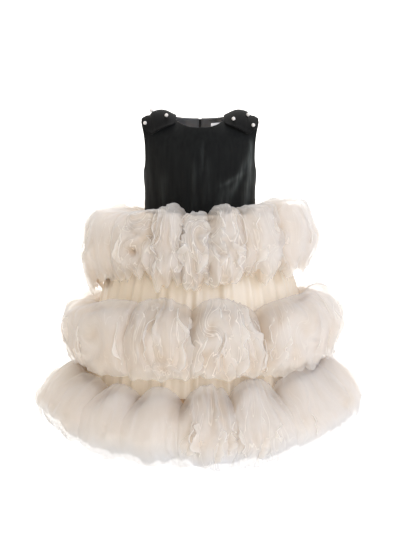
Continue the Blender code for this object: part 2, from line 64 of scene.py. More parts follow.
def add_node(tree, kind, inputs=None, output=0, **settings):
    """Adds one shader node and gives one of its outputs; inputs are values, or outputs to link from."""
    node = tree.nodes.new("ShaderNode" + kind)
    for name, value in settings.items():
        setattr(node, name, value)
    for name, value in (inputs or {}).items():
        if isinstance(value, bpy.types.NodeSocket):
            tree.links.new(value, node.inputs[name])
        else:
            node.inputs[name].default_value = value
    return node.outputs[output]


def blend(tree, share, first, second):
    """Mixes two colours, hex codes or outputs, by a share from 0 to 1."""
    ends = [linear(end) if isinstance(end, str) else end for end in (first, second)]
    return add_node(tree, "Mix", {"Factor": share, "A": ends[0], "B": ends[1]}, "Result", data_type="RGBA")


def new_material(name):
    """An empty node material, and its tree."""
    material = bpy.data.materials.new(name)
    material.use_nodes = True
    material.node_tree.nodes.clear()
    return material, material.node_tree


def finish_material(tree, inputs):
    """Adds the surface shader with its inputs, and links it to the material's output."""
    output = tree.nodes.new("ShaderNodeOutputMaterial")
    tree.links.new(add_node(tree, "BsdfPrincipled", inputs), output.inputs["Surface"])


scene = bpy.context.scene
camera = bpy.data.objects.new("camera", bpy.data.cameras.new("camera"))
scene.collection.objects.link(camera)
tilt = math.radians(CAMERA_ELEVATION)
back_off = Vector((0.0, -math.cos(tilt), math.sin(tilt)))
camera.location = AIM + back_off * CAMERA_DISTANCE
camera.rotation_mode = "QUATERNION"
camera.rotation_quaternion = (-back_off).to_track_quat("-Z", "Y")
camera.data.lens = CAMERA_LENS
scene.camera = camera

world = bpy.data.worlds.new("studio_air")
world.use_nodes = True
air = world.node_tree.nodes["Background"].inputs
air["Color"].default_value = linear("#fffaf4")
air["Strength"].default_value = 0.71
scene.world = world
scene.view_settings.view_transform = "Standard"
# Light passes through many layers of net and goes to and fro in the folds
scene.cycles.transparent_max_bounces = 24
scene.cycles.max_bounces = 14
scene.cycles.diffuse_bounces = 9


def area_light(name, place, size, power, colour="#ffffff", target=AIM):
    """A square soft light that points at the target, or else at the middle of the dress."""
    light = bpy.data.objects.new(name, bpy.data.lights.new(name, "AREA"))
    light.data.size = size
    light.data.energy = power
    light.data.color = linear(colour)[:3]
    light.location = place
    light.rotation_mode = "QUATERNION"
    light.rotation_quaternion = (Vector(place) - Vector(target)).to_track_quat("Z", "Y")
    scene.collection.objects.link(light)


area_light("key_front_right", (2.0, -2.2, 1.3), 1.2, 28.0, "#bfd6ff")
area_light("rim_back", (0.6, 2.6, 1.4), 1.4, 5.0)
area_light("fill_front", (0.9, -3.1, -0.1), 1.2, 17.0)
area_light("backdrop", (0.0, 2.4, 3.4), 3.0, 280.0, target=(0.0, 4.9, -0.1))

# The floor sweeps up behind the dress in one curve, so that no line shows.
half_width, front_end, run, rise, bend = 6.0, -8.0, 5.0, 6.0, 2.5
turns = np.linspace(0.0, np.pi / 2, 13)
sweep = np.concatenate([
    [[front_end, 0.0]],
    np.stack([run - bend + bend * np.sin(turns), bend - bend * np.cos(turns)], axis=1),
    [[run, rise]],
])
left_edge = np.column_stack([np.full(len(sweep), -half_width), sweep[:, 0], sweep[:, 1] + FLOOR_LEVEL])
right_edge = left_edge * np.array([-1.0, 1.0, 1.0])
floor_mesh = bpy.data.meshes.new("studio_floor")
count = len(sweep)
floor_mesh.from_pydata(
    np.concatenate([left_edge, right_edge]).tolist(), [],
    [(i, count + i, count + i + 1, i + 1) for i in range(count - 1)],
)
floor_mesh.shade_smooth()
floor = bpy.data.objects.new("studio_floor", floor_mesh)
scene.collection.objects.link(floor)
paper, tree = new_material("matt_white_paper")
finish_material(tree, {"Base Color": linear("#fbfaf8"), "Roughness": 0.95})
floor_mesh.materials.append(paper)

# Bodice: front and two backs of black cotton velvet, lined with charcoal satin. Each panel is cut
# in one from the waist to the shoulder, and the pile catches the light on its soft creases.
WALL = 1.8
SEAM_GAP = 0.3
SHOULDER_RISE = 2.0
NECK_DIP, NECK_DIP_AT, NECK_DIP_SPREAD = 7.0, 46.0, 16.0
SHOULDER_TIP_DROP = -14.0
SHOULDER_TIP_OUT = 114.0
NECK_HALF_WIDTH = 54.0
FRONT_NECK_DROP = -24.0
BACK_NECK_DROP = -8.5
NECK_SCOOP_POWER = 2.6
SHOULDER_ROUND_BELOW = -62.0
WAIST = -190.0
ZIP_HALF_WIDTH = 2.3
PANEL_ROWS = 90
# Creases fade where the torso is less deep than this
CREASE_FADE = 18.0

# Height, half width, depth in front, depth behind
TORSO = np.array([
    (-190.0, 108.0, 80.0, 66.0),
    (-150.0, 107.5, 84.0, 70.0),
    (-108.0, 109.0, 86.0, 75.0),
    (-70.0, 118.0, 82.0, 76.0),
    (-35.0, 124.0, 73.0, 71.0),
    (0.0, 128.0, 64.0, 64.0),
    (20.0, 130.0, 60.0, 60.0),
])
# Height, distance out of the panel's edge: side seam, then armhole, then shoulder tip
PANEL_EDGE = np.array([
    (-190.0, 108.0), (-150.0, 107.5), (-108.0, 109.0), (-96.0, 106.5),
    (-70.0, 105.5), (-40.0, 108.0), (-14.0, 114.0),
])
# Creases of the front: place across and up, lean, half length, half width, depth (minus is a ridge)
FRONT_CREASES = (
    (-19.0, -140.0, 0.02, 50.0, 4.5, 1.5), (-10.0, -132.0, 0.00, 56.0, 5.0, -1.0),
    (7.0, -78.0, 0.03, 38.0, 4.0, 1.3), (22.0, -150.0, -0.03, 34.0, 5.0, 0.9),
    (38.0, -160.0, 0.10, 30.0, 5.0, 1.3), (86.0, -88.0, 0.05, 42.0, 5.0, 3.0),
    (95.0, -84.0, 0.05, 40.0, 4.0, -2.2), (76.0, -118.0, 0.35, 40.0, 5.5, 2.6),
    (66.0, -122.0, 0.30, 36.0, 5.0, -1.4), (88.0, -158.0, 0.12, 26.0, 5.0, 2.2),
    (58.0, -165.0, 0.16, 24.0, 5.0, 1.6), (-84.0, -120.0, -0.10, 48.0, 6.0, 1.8),
    (-62.0, -160.0, -0.14, 30.0, 5.0, 1.4), (-95.0, -150.0, -0.05, 34.0, 4.0, 1.6),
    (-40.0, -172.0, -0.05, 20.0, 4.5, 1.1),
)
BACK_CREASES = (
    (12.0, -150.0, 0.02, 40.0, 4.5, 1.3), (34.0, -120.0, 0.10, 46.0, 6.0, 1.6),
    (60.0, -160.0, 0.20, 28.0, 5.0, 1.8), (78.0, -110.0, 0.25, 40.0, 6.0, 2.0),
    (92.0, -150.0, 0.10, 34.0, 4.5, 1.8),
)
# Painted sheen where the pile of the front lies over and greys: place, lean, half length, half width, amount
FRONT_PAINTED_SHEEN = (
    (96.0, -92.0, 0.03, 40.0, 5.0, 1.0), (90.0, -152.0, 0.12, 30.0, 6.0, 0.7),
    (76.0, -116.0, 0.45, 34.0, 6.0, 0.7), (62.0, -122.0, 1.60, 12.0, 8.0, 0.45),
    (46.0, -160.0, 0.00, 34.0, 13.0, 0.30), (14.0, -118.0, 0.02, 50.0, 6.0, 0.12),
    (-12.0, -134.0, 0.00, 50.0, 4.0, 0.20), (4.0, -78.0, 0.03, 30.0, 3.0, 0.22),
    (-70.0, -150.0, -0.05, 40.0, 10.0, 0.15), (-98.0, -110.0, 0.00, 60.0, 3.0, 0.15),
)
# The same painted sheen on the backs
BACK_PAINTED_SHEEN = (
    (30.0, -120.0, 0.10, 50.0, 7.0, 0.4), (66.0, -150.0, 0.20, 34.0, 8.0, 0.5),
    (88.0, -110.0, 0.10, 40.0, 5.0, 0.6),
)


def clamp(value):
    """The value, held between 0 and 1."""
    return np.clip(value, 0.0, 1.0)


def ramp(value, start, length):
    """Rises evenly from 0 at the start to 1 after a length, and stays level on both sides."""
    return clamp((value - start) / length)


def points_of(*parts):
    """Points from their coordinates, each spread over the whole grid."""
    return np.stack(np.broadcast_arrays(*parts), axis=-1)


def smooth_interp(at, knots, values):
    """Smooth curve through a table: cubic pieces whose slopes are those of the knots' neighbours."""
    slopes = np.gradient(values, knots)
    i = np.clip(np.searchsorted(knots, at) - 1, 0, len(knots) - 2)
    span = knots[i + 1] - knots[i]
    t = ramp(at, knots[i], span)
    start = (1 + 2 * t) * (1 - t) ** 2 * values[i] + t * (1 - t) ** 2 * span * slopes[i]
    end = t * t * (3 - 2 * t) * values[i + 1] + t * t * (t - 1) * span * slopes[i + 1]
    return start + end


def columns_at(table, z):
    """A table's other columns at height z, which is its first: half width, depth in front, behind."""
    return [smooth_interp(z, table[:, 0], column) for column in table.T[1:]]


def shoulder_height(x):
    """The top of the torso at x: the shoulder's slope, which dips where the neck edge begins."""
    slope = (SHOULDER_TIP_DROP - SHOULDER_RISE) / (SHOULDER_TIP_OUT - NECK_HALF_WIDTH)
    dip = NECK_DIP * np.exp(-((np.abs(x) - NECK_DIP_AT) / NECK_DIP_SPREAD) ** 2)
    return SHOULDER_RISE + slope * (np.abs(x) - NECK_HALF_WIDTH) - dip


def torso_depth(x, z, side):
    """Depth of the torso at (x, z): an ellipse across, closed by a quarter ellipse over the shoulder."""
    half_width, front_depth, back_depth = columns_at(TORSO, z)
    depth = front_depth if side == "front" else back_depth
    across = np.sqrt(clamp(1.0 - (x / half_width) ** 2))
    rise = (z - SHOULDER_ROUND_BELOW) / (shoulder_height(x) - SHOULDER_ROUND_BELOW)
    return depth * across * np.sqrt(1.0 - clamp(rise) ** 2)


def streaks(x, z, table):
    """Sum of creases or brushed places: each is full on its own leaning line, and fades across it
    and at both ends."""
    total = np.zeros(np.broadcast(x, z).shape)
    for place_x, place_z, lean, half_long, half_wide, amount in table:
        along = (z - place_z) / half_long
        across = (x - place_x - lean * (z - place_z)) / half_wide
        total += amount * np.exp(-across ** 2 - along ** 4)
    return total


def neckline(x, drop):
    """Height of the top edge at x: the scooped neckline, then the shoulder seam."""
    share = clamp(np.abs(x) / NECK_HALF_WIDTH)
    scoop = drop + (shoulder_height(NECK_HALF_WIDTH) - drop) * share ** NECK_SCOOP_POWER
    return np.where(np.abs(x) <= NECK_HALF_WIDTH, scoop, shoulder_height(x))


def panel_points(shares, side, drop, creases, start=0.0):
    """A panel's face: columns run from the waist to the neckline or shoulder, rows from edge to edge."""
    rise = np.linspace(0.0, 1.0, PANEL_ROWS)[:, None]
    shares = np.asarray(shares)[None, :]
    height = WAIST + (SHOULDER_TIP_DROP - WAIST) * rise
    edge_out = smooth_interp(height, PANEL_EDGE[:, 0], PANEL_EDGE[:, 1])
    x = np.sign(shares) * (start + (edge_out - start) * np.abs(shares))
    top_x = np.sign(shares) * (start + (SHOULDER_TIP_OUT - start) * np.abs(shares))
    z = WAIST + (neckline(top_x, drop) - WAIST) * rise
    depth = torso_depth(x, z, side)
    pressed = streaks(x if side == "front" else np.abs(x), z, creases)
    depth = depth - pressed * ramp(depth, 0.0, CREASE_FADE) + SEAM_GAP / 2
    return points_of(x, -depth if side == "front" else depth, z)


def unit(vectors):
    """The vectors at length 1."""
    return vectors / np.maximum(np.linalg.norm(vectors, axis=-1, keepdims=True), 1e-9)


def outward_of(grid):
    """A grid's normals, from the run of its rows and columns, pointing away from the body's axis."""
    normals = unit(np.cross(np.gradient(grid, axis=0), np.gradient(grid, axis=1)))
    away = grid * np.array([1.0, 1.0, 0.0])
    return normals * np.sign(np.sum(away * normals))


def quads(rows, columns, closed=False, first=0):
    """Corner numbers of a grid's four-sided faces."""
    index = first + np.arange(rows * columns).reshape(rows, columns)
    right = np.roll(index, -1, axis=1) if closed else index[:, 1:]
    left = index if closed else index[:, :-1]
    return np.stack([left[:-1], left[1:], right[1:], right[:-1]], axis=2).reshape(-1, 4)


def make_piece(name, points, faces, materials, slot_of_face=None, uv=None, caps=()):
    """A smooth mesh object from points in millimetres, with its materials and a UV map in metres."""
    mesh = bpy.data.meshes.new(name)
    mesh.from_pydata((points * MM).tolist(), [], [*faces.tolist(), *caps])
    for material in materials:
        mesh.materials.append(material)
    if slot_of_face is not None:
        mesh.polygons.foreach_set("material_index", slot_of_face)
    if uv is not None:
        layer = mesh.uv_layers.new(name="cloth")
        corner = np.empty(len(mesh.loops), np.int32)
        mesh.loops.foreach_get("vertex_index", corner)
        layer.data.foreach_set("uv", uv[corner].astype(np.float32).ravel())
    mesh.shade_smooth()
    mesh.update()
    piece = bpy.data.objects.new(name, mesh)
    scene.collection.objects.link(piece)
    return piece


def cloth_uv(grid):
    """Each point's run along its column and its row from the first, in metres."""
    down = np.linalg.norm(np.diff(grid, axis=0), axis=2).mean(axis=1)
    across = np.linalg.norm(np.diff(grid, axis=1), axis=2).mean(axis=0)
    v = np.concatenate([[0.0], np.cumsum(down)])
    u = np.concatenate([[0.0], np.cumsum(across)])
    return points_of(u[None, :], v[:, None]).reshape(-1, 2) * MM


def double_cloth(name, face, inward, thickness, outer_material, inner_material):
    """Cloth with its lining: the face, the same moved inward, and a strip that closes the edge."""
    rows, columns = face.shape[:2]
    lining = face + inward * thickness
    side = quads(rows, columns)
    back = quads(rows, columns, first=rows * columns)[:, ::-1]
    index = np.arange(rows * columns).reshape(rows, columns)
    rim = np.concatenate([index[0, :-1], index[:-1, -1], index[-1, :0:-1], index[:0:-1, 0]])
    after = np.roll(rim, -1)
    edge = np.stack([rim, after, after + rows * columns, rim + rows * columns], axis=1)
    faces = np.concatenate([side, back, edge])
    slots = np.concatenate([np.zeros(len(side)), np.ones(len(back)), np.zeros(len(edge))]).astype(np.int32)
    points = np.concatenate([face.reshape(-1, 3), lining.reshape(-1, 3)])
    out = np.cross(face[1, 0] - face[0, 0], face[0, 1] - face[0, 0])
    if np.dot(out, -inward[0, 0]) < 0.0:
        faces = faces[:, ::-1]
    uv = np.tile(cloth_uv(face), (2, 1))
    return make_piece(name, points, faces, [outer_material, inner_material], slots, uv)


def keep_at_points(piece, **records):
    """Keeps numbers or vectors for each point with the mesh, for the material to read."""
    for name, values in records.items():
        plain = values.size == len(piece.data.vertices)
        layer = piece.data.attributes.new(name, "FLOAT" if plain else "FLOAT_VECTOR", "POINT")
        layer.data.foreach_set("value" if plain else "vector", values.astype(np.float32).ravel())


def set_painted_sheen(piece, x, z, places):
    """Keeps the painted sheen where the pile lies over, from 0 to 1, on the face and on its lining."""
    total = clamp(streaks(x, z, places))
    keep_at_points(piece, nap_over=np.tile(total.ravel(), 2))


def velvet_material(name, base, bright, sheen, lay):
    """Cotton velvet: matt pile that is nearly black face on, greyed by a painted sheen where it lies over."""
    material, tree = new_material(name)
    place = add_node(tree, "TexCoord", output="Object")
    # Brushed nap lies in soft streaks about 6 mm wide and 25 to 45 mm long
    run = add_node(tree, "Mapping", {"Vector": place, "Scale": (160.0, 160.0, lay)})
    streak = add_node(tree, "TexNoise", {"Vector": run, "Scale": 1.0, "Detail": 4.0})
    tone = add_node(tree, "MapRange", {"Value": streak, "From Min": 0.35, "From Max": 0.7})
    colour = blend(tree, tone, base, bright)
    # Painted sheen: the pile greys in the listed places, broken up by the streaks
    nap = add_node(tree, "Attribute", output="Fac", attribute_name="nap_over")
    patchy = add_node(tree, "MapRange", {
        "Value": streak, "From Min": 0.35, "From Max": 0.65, "To Min": 0.45, "To Max": 1.2,
    })
    painted_sheen_share = add_node(tree, "Math", {0: nap, 1: patchy}, operation="MULTIPLY", use_clamp=True)
    # Pile tufts 0.7 mm apart, drawn at 1.4 mm so that they show
    pile = add_node(tree, "TexNoise", {"Vector": place, "Scale": 700.0, "Detail": 2.0})
    bump = add_node(tree, "Bump", {"Height": pile, "Strength": 0.35, "Distance": 0.0006})
    finish_material(tree, {
        "Base Color": blend(tree, painted_sheen_share, colour, "#4a4e4c"), "Roughness": 0.88,
        "Normal": bump, "Specular IOR Level": 0.25, "Sheen Weight": sheen,
        "Sheen Roughness": 0.35, "Sheen Tint": linear("#c9d0cd"),
    })
    return material


def satin_material(name, base, shade, roughness, sheen):
    """Satin: long floats of smooth thread give a soft broad shine and fine lines along the warp."""
    material, tree = new_material(name)
    place = add_node(tree, "UVMap", uv_map="cloth")
    # Warp threads 0.25 mm apart, drawn at 2 mm so that they show
    warp = add_node(tree, "TexWave", {"Vector": place, "Scale": 160.0, "Distortion": 1.5}, "Fac")
    cloud = add_node(tree, "TexNoise", {"Vector": place, "Scale": 18.0, "Detail": 3.0})
    bump = add_node(tree, "Bump", {"Height": warp, "Strength": 0.12, "Distance": 0.0004})
    finish_material(tree, {
        "Base Color": blend(tree, cloud, base, shade), "Roughness": roughness,
        "Normal": bump, "Sheen Weight": sheen, "Sheen Roughness": 0.4,
    })
    return material


bodice_velvet = velvet_material("brushed_black_cotton_velvet", "#0b0c0c", "#131514", 0.08, 22.0)
charcoal_satin = satin_material("charcoal_lining_satin", "#4d4e50", "#66686b", 0.34, 0.1)

front_shares = np.sin(np.radians(np.linspace(-90.0, 90.0, 121)))
front_face = panel_points(front_shares, "front", FRONT_NECK_DROP, FRONT_CREASES)
front_in = -outward_of(front_face)
front = double_cloth("velvet_bodice_front", front_face, front_in, WALL, bodice_velvet, charcoal_satin)
set_painted_sheen(front, front_face[..., 0], front_face[..., 2], FRONT_PAINTED_SHEEN)
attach(front, "dress")
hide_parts("bodice_front")

half_shares = np.sin(np.radians(np.linspace(0.0, 90.0, 61)))
half_shares[0] = 1e-6
zip_edge = ZIP_HALF_WIDTH + SEAM_GAP
back_faces = {}
for turn, hand in ((1.0, "right"), (-1.0, "left")):
    face = panel_points(turn * half_shares, "back", BACK_NECK_DROP, BACK_CREASES, zip_edge)
    inward = -outward_of(face)
    back_faces[hand] = face, inward
    panel = double_cloth("velvet_bodice_back_" + hand, face, inward, WALL, bodice_velvet, charcoal_satin)
    set_painted_sheen(panel, np.abs(face[..., 0]), face[..., 2], BACK_PAINTED_SHEEN)
    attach(panel, "dress")
    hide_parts("bodice_back_" + hand)

# Back neck facing: two shaped strips of charcoal satin, sewn round the neck edge and turned in.
# Through the neck they show as dark satin with soft pulls.
FACING_THICKNESS = 0.8
facing_part = slice(-20, None), slice(0, 32)
for hand, (face, inward) in back_faces.items():
    facing_in = inward[facing_part]
    outside = face[facing_part] + facing_in * (WALL + SEAM_GAP)
    facing = double_cloth("satin_neck_facing_" + hand, outside, facing_in, FACING_THICKNESS,
                          charcoal_satin, charcoal_satin)
    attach(facing, "dress")
    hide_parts("back_facing_" + hand)

# Label: a bare strip of white woven tape, sewn into the facing at one side of the zip. It is given
# a faint painted glow, so that it shows white inside the dark neck.
LABEL_THICKNESS, LABEL_STAND_OFF = 0.6, 0.9
white_tape, tree = new_material("white_woven_tape")
place = add_node(tree, "UVMap", uv_map="cloth")
ribs = add_node(tree, "TexWave", {"Vector": place, "Scale": 400.0}, "Fac")
bump = add_node(tree, "Bump", {"Height": ribs, "Strength": 0.2, "Distance": 0.0002})
finish_material(tree, {
    "Base Color": linear("#fdfdfc"), "Roughness": 0.8, "Normal": bump,
    # Painted light: a faint bluish glow
    "Emission Color": linear("#f4f6ff"), "Emission Strength": 0.45,
})
label_part = slice(78, 86), slice(7, 23)
face, inward = (grid[label_part] for grid in back_faces["right"])
label_face = face + inward * (WALL + SEAM_GAP + FACING_THICKNESS + LABEL_STAND_OFF)
label = double_cloth("bare_neck_label", label_face, inward, LABEL_THICKNESS, white_tape, white_tape)
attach(label, "dress")
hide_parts("neck_label")

# Zip: black tapes with a closed coil down the middle back, and an enamelled slider and pull tab.
zip_black, tree = new_material("black_zip_tape_with_coil")
place = add_node(tree, "TexCoord", output="Object")
# Coil turns 1.2 mm apart, drawn at 2.4 mm so that they show
coil = add_node(tree, "TexWave", {"Vector": place, "Scale": 130.0}, "Fac", bands_direction="Z")
bump = add_node(tree, "Bump", {"Height": coil, "Strength": 0.8, "Distance": 0.0005})
finish_material(tree, {"Base Color": linear("#1b1b1c"), "Roughness": 0.55, "Normal": bump})
enamel, tree = new_material("black_enamelled_die_casting")
place = add_node(tree, "TexCoord", output="Object")
wear = add_node(tree, "TexNoise", {"Vector": place, "Scale": 900.0})
rough = add_node(tree, "MapRange", {"Value": wear, "To Min": 0.25, "To Max": 0.42})
finish_material(tree, {
    "Base Color": linear("#2a2a2b"), "Roughness": rough, "Metallic": 0.6, "Coat Weight": 0.4,
})
for name, material in (("zip_chain", zip_black), ("zip_slider", enamel), ("zip_pull", enamel)):
    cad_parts[name].data.materials.clear()
    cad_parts[name].data.materials.append(material)

# Underskirt: one flared tube of champagne satin. It carries the ruffles' seams, and shows between
# the tiers in soft upright folds.
UNDERSKIRT = np.array([
    (-600.0, 236.0, 214.0, 208.0),
    (-490.0, 216.0, 196.0, 190.0),
    (-380.0, 195.0, 176.0, 170.0),
    (-300.0, 176.0, 156.0, 148.0),
    (-235.0, 146.0, 124.0, 112.0),
    (-190.3, 108.0, 80.0, 66.0),
])
UNDERSKIRT_TOP, UNDERSKIRT_HEM = -190.6, -600.0
UNDERSKIRT_FOLD_DEPTH, FOLDS_FULL_BELOW = 7.0, 160.0
FOLD_COUNTS, FOLD_PHASES = (16, 37, 53), (0.0, 1.0, 2.2)
# Metres of cloth round the skirt for each radian
CLOTH_PER_TURN = 0.2


def half_ellipses(turn, half_width, front_depth, back_depth):
    """A ring round the body: half an ellipse in front, half behind."""
    depth = np.where(np.cos(turn) >= 0.0, front_depth, back_depth)
    return half_width * np.sin(turn), -depth * np.cos(turn)


def skirt_ring(turn, z):
    """The underskirt's ring at height z, without its folds."""
    return half_ellipses(turn, *columns_at(UNDERSKIRT, z))


def wavy(turn):
    """The folds round the skirt: a sum of waves, uneven because their counts share no factor."""
    waves = [
        np.cos(count * turn + phase) / (1 + 0.2 * i)
        for i, (count, phase) in enumerate(zip(FOLD_COUNTS, FOLD_PHASES))
    ]
    return sum(waves) / len(waves)


turn = np.linspace(0.0, 2 * np.pi, 360, endpoint=False)[None, :]
z = np.linspace(UNDERSKIRT_TOP, UNDERSKIRT_HEM, 70)[:, None]
x, y = skirt_ring(turn, z)
fall = ramp(-z, -WAIST, FOLDS_FULL_BELOW)
fold = UNDERSKIRT_FOLD_DEPTH * fall * wavy(turn + 0.15 * np.sin(2.0 * turn))
scale = 1.0 + fold / np.hypot(x, y)
skirt_face = points_of(x * scale, y * scale, z)
champagne_satin = satin_material("champagne_satin", "#fbf0df", "#f4e4ca", 0.32, 0.25)
faces = quads(*skirt_face.shape[:2], closed=True)
uv = points_of(turn * CLOTH_PER_TURN, -z * MM).reshape(-1, 2)
underskirt = make_piece("satin_underskirt", skirt_face.reshape(-1, 3), faces, [champagne_satin], uv=uv)
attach(underskirt, "dress")
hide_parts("underskirt")

# Tulle ruffles: each tier is one long strip of soft net, folded and gathered in and out, so that it
# stands off the skirt as a row of round puffs. Layers of the same net lie in each other.
# Sections from the seam over the puff to the hem: share of the reach, share of the height
BOXY_PUFF = np.array([
    (0.00, 0.80), (0.14, 0.90), (0.36, 0.97), (0.61, 1.00), (0.84, 0.95),
    (0.98, 0.74), (1.02, 0.50), (1.00, 0.30), (0.95, 0.13), (0.86, 0.00),
])
ROUND_PUFF = np.array([
    (0.00, 0.73), (0.13, 0.90), (0.34, 0.99), (0.60, 0.98), (0.84, 0.86),
    (0.99, 0.66), (1.02, 0.46), (0.99, 0.28), (0.92, 0.12), (0.82, 0.00),
])
SLOPED_PUFF = np.array([
    (0.00, 0.62), (0.11, 0.88), (0.26, 1.00), (0.48, 0.93), (0.72, 0.75),
    (0.90, 0.57), (1.00, 0.40), (1.01, 0.25), (0.97, 0.11), (0.89, 0.00),
])
# Share of the reach that is left between puffs, at a hem with gaps and at an even hem
GAPPED_HEM, EVEN_HEM = 0.80, 0.93
# name, seam, top, hem, half width, front, back, drop of the crown between puffs, share of the reach
# at the hem between puffs, raggedness of the hem, section, then a row for each puff:
# bearing, reach, lift of its crown, lift of its hem, weight of its folds, depth of the gap after it
TIERS = (
    ("tier_1", -198.0, -172.0, -326.0, 224.0, 210.0, 202.0, 26.0, GAPPED_HEM, 24.0, BOXY_PUFF, (
        (-165.0, 0.98, -10.0, 0.0, 0.8, 0.6), (-134.0, 1.0, -8.0, -4.0, 1.0, 0.5),
        (-100.0, 1.0, -9.0, -6.0, 0.5, 0.12), (-64.0, 1.0, -17.0, 4.0, 0.4, 0.25),
        (-34.0, 0.98, -12.0, 42.0, 1.0, 0.35), (-16.0, 0.97, 4.0, 34.0, 1.0, 0.7),
        (-3.0, 0.93, -14.0, 16.0, 1.3, 0.7), (13.0, 0.98, 3.0, 22.0, 1.2, 0.25),
        (32.0, 0.98, -2.0, 42.0, 0.8, 0.5), (64.0, 1.0, 14.0, 40.0, 0.4, 0.12),
        (100.0, 0.99, -4.0, 32.0, 0.6, 0.5), (132.0, 0.98, -4.0, -2.0, 1.0, 0.6),
        (161.0, 0.98, -10.0, -2.0, 1.0, 0.5))),
    ("tier_2", -374.0, -340.0, -469.0, 270.0, 248.0, 242.0, 26.0, GAPPED_HEM, 7.0, ROUND_PUFF, (
        (-168.0, 1.0, 0.0, 0.0, 0.8, 0.6), (-142.0, 0.99, 4.0, -2.0, 0.7, 0.7),
        (-113.0, 1.0, -14.0, 2.0, 0.5, 0.3), (-80.0, 0.955, -38.0, 6.0, 0.4, 0.1),
        (-45.0, 0.99, -6.0, -2.0, 0.4, 0.55), (-17.0, 0.98, 2.0, -2.0, 1.0, 0.9),
        (9.0, 1.0, 2.0, -2.0, 1.3, 1.0), (47.0, 0.99, -3.0, 3.0, 0.5, 0.1),
        (82.0, 1.06, 6.0, 11.0, 0.4, 0.3), (112.0, 1.0, 0.0, 2.0, 0.6, 0.7),
        (140.0, 0.99, 4.0, 0.0, 1.0, 0.6), (166.0, 0.99, -2.0, -2.0, 0.9, 0.6))),
    ("tier_3", -518.0, -479.0, -604.0, 314.0, 288.0, 282.0, 36.0, EVEN_HEM, 7.0, SLOPED_PUFF, (
        (-163.0, 1.0, 0.0, 0.0, 0.9, 0.9), (-142.0, 0.98, 4.0, 4.0, 0.5, 0.9),
        (-120.0, 1.0, -2.0, 8.0, 0.35, 0.8), (-98.0, 1.0, 2.0, 14.0, 0.25, 0.6),
        (-76.0, 1.0, -2.0, 20.0, 0.25, 0.4), (-54.0, 0.99, -14.0, 2.0, 0.25, 0.8),
        (-36.0, 0.97, -20.0, -15.0, 0.2, 0.9), (-18.0, 0.99, -19.0, -26.0, 0.25, 1.0),
        (3.0, 1.0, -14.0, -27.0, 1.0, 0.8), (22.0, 0.98, -5.0, -24.0, 0.9, 0.9),
        (46.0, 0.99, 0.0, -2.0, 0.3, 0.3), (84.0, 1.02, 19.0, 22.0, 0.25, 0.5),
        (112.0, 1.0, 2.0, 10.0, 0.35, 0.8), (138.0, 0.99, 4.0, 4.0, 0.6, 0.9),
        (162.0, 0.99, 0.0, -4.0, 1.0, 0.9))),
)
# Layers of each tier: share of the reach, rise of the top, rise of the hem, share of the reach left
# in the gaps, weight of the folds, number that shifts the folds, columns a puff, rows
LAYERS = (
    ("core", 0.87, -21.0, 9.0, 0.52, 0.6, 11, 24, 36),
    ("middle", 0.97, -11.0, 0.0, 0.46, 1.0, 23, 54, 70),
    ("veil", 1.03, 6.0, -6.0, 0.48, 1.15, 37, 42, 56),
)
# Places where a stitch catches the net, so that its folds turn round the spot like a rose:
# bearing, share of the strip, radius, depth, turn in radians
ROSETTES = {
    "tier_1": (
        (-30.0, 0.46, 36.0, 9.0, 2.6), (-35.0, 0.74, 17.0, 15.0, 0.9), (44.0, 0.6, 26.0, 6.0, 2.0),
        (68.0, 0.5, 30.0, 3.0, -1.6), (-66.0, 0.6, 40.0, 3.0, 1.4), (2.0, 0.52, 30.0, 6.0, -2.2),
        (128.0, 0.55, 34.0, 6.0, 2.2), (172.0, 0.5, 34.0, 7.0, -2.2), (-134.0, 0.58, 36.0, 6.0, 2.0)),
    "tier_2": (
        (-48.0, 0.6, 36.0, 5.0, 2.4), (-17.0, 0.3, 26.0, 6.0, 0.9), (4.0, 0.56, 26.0, 9.0, 1.6),
        (47.0, 0.6, 34.0, 4.0, -1.6), (80.0, 0.5, 40.0, 2.0, 1.4), (126.0, 0.55, 36.0, 5.0, 2.2),
        (-130.0, 0.58, 36.0, 5.0, -2.0), (178.0, 0.45, 30.0, 6.0, 1.8)),
    "tier_3": ((64.0, 0.62, 30.0, 3.0, 1.3),),
}
# Width of the strip against the ruffle's height, and how far its seam edge stands off
STRIP_FULLNESS, SEAM_STAND_OFF = 1.9, 1.01
# How far the strip is drawn together at its crown, and where it is let out again
CROWN_GATHER, LET_OUT = 0.55, 0.7
# Folds: size of the noise in the cloth, and how far it moves the cloth
RIDGE_SIZE, RIDGE_MOVE, RIDGE_LIFT = (19.0, 19.0, 95.0), 6.5, 5.0
PLEAT_SIZE, PLEAT_MOVE, SEAM_PLEAT_MOVE = (9.0, 9.0, 70.0), 2.6, 2.2
BILLOW_SIZE, CRUMPLE_SIZE, BILLOW_MOVE, BILLOW_SEED = 52.0, (22.0, 22.0, 34.0), 8.0, 40
WANDER_SIZE, WANDER_MOVE = 45.0, 15.0
# The noise is folded at 0 into ridges this sharp, which move the cloth out above a level
RIDGE_SHARPNESS, RIDGE_LEVEL = 1.7, 0.45
# Tears of the hem: coarse and fine, and how far the hem rises in a gap
TEAR_SIZE, FINE_TEAR_SIZE, HEM_GAP_RISE = 26.0, 9.0, 10.0


def soft_noise(points, size, seed):
    """Smooth noise from -1 to 1: random values on a lattice, size millimetres apart, eased between."""
    lattice = np.random.default_rng(seed).uniform(-1.0, 1.0, (32, 32, 32))
    at = points / np.asarray(size)
    low = np.floor(at).astype(int)
    share = at - low
    share = share * share * (3.0 - 2.0 * share)
    total = 0.0
    for corner in np.ndindex(2, 2, 2):
        weight = np.prod(np.where(np.array(corner) == 1, share, 1.0 - share), axis=-1)
        index = (low + np.array(corner)) % 32
        total = total + weight * lattice[index[..., 0], index[..., 1], index[..., 2]]
    return total


def through(values, share):
    """Smooth curve through evenly spaced values, read at shares from 0 to 1."""
    return smooth_interp(share * (len(values) - 1.0), np.arange(len(values), dtype=float), values)


